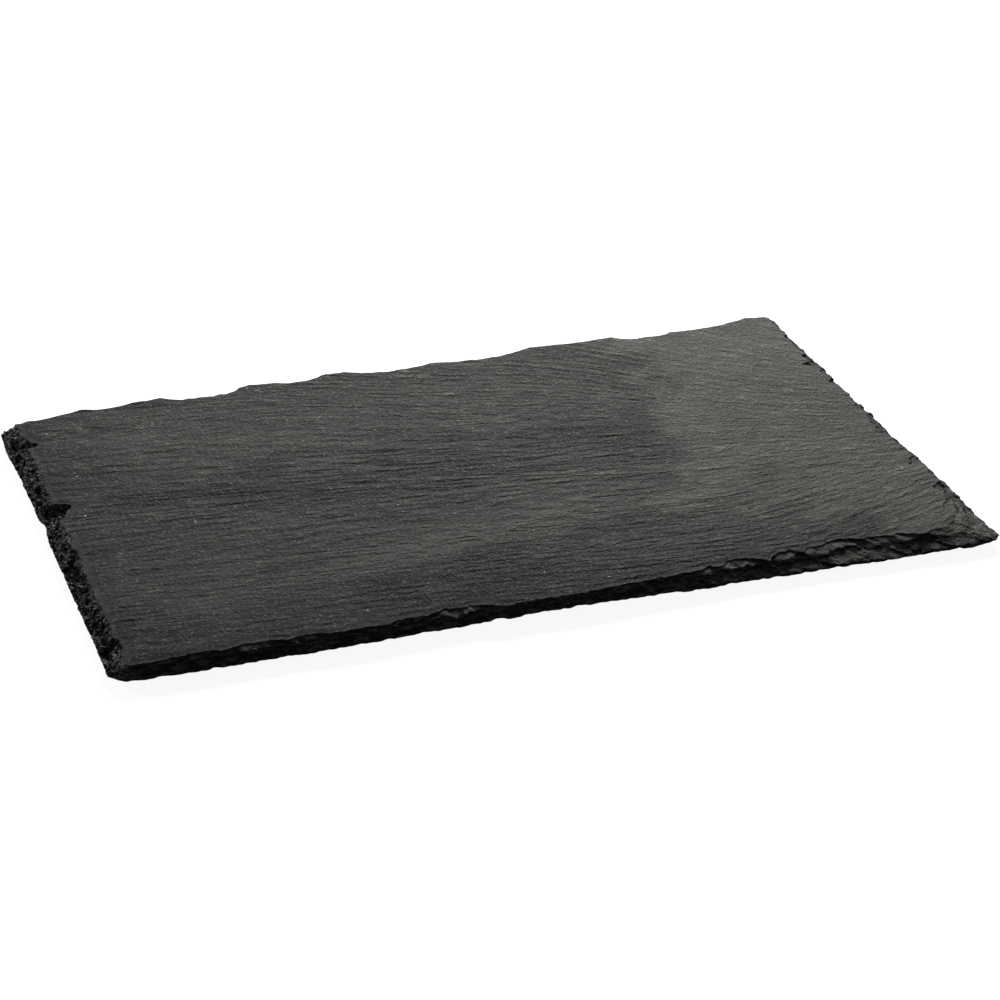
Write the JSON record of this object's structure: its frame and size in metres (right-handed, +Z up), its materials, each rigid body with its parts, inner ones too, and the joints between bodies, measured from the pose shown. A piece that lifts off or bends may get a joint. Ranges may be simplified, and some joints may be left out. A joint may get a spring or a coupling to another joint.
{
  "type": "slate serving board",
  "caption": "Rectangular slate serving board: a thin slab with a split-stone serving face and hammer-dressed, chipped edges, standing on self-adhesive rubber feet under its corners.",
  "frame": {"origin": "on the table, under the middle of the board", "axes": "+X along the board, +Y to its back, +Z up out of the serving face"},
  "size_m": [0.33, 0.21, 0.0085],
  "materials": {
    "slate": "split",
    "foot_rubber": "matte",
    "adhesive": "matte"
  },
  "bodies": {
    "root": {"slate_slab": "slate", "rubber_foot_front_left": "foot_rubber", "rubber_foot_front_right": "foot_rubber", "rubber_foot_back_left": "foot_rubber", "rubber_foot_back_right": "foot_rubber", "adhesive_disc_front_left": "adhesive", "adhesive_disc_front_right": "adhesive", "adhesive_disc_back_left": "adhesive", "adhesive_disc_back_right": "adhesive"}
  },
  "joints": []
}
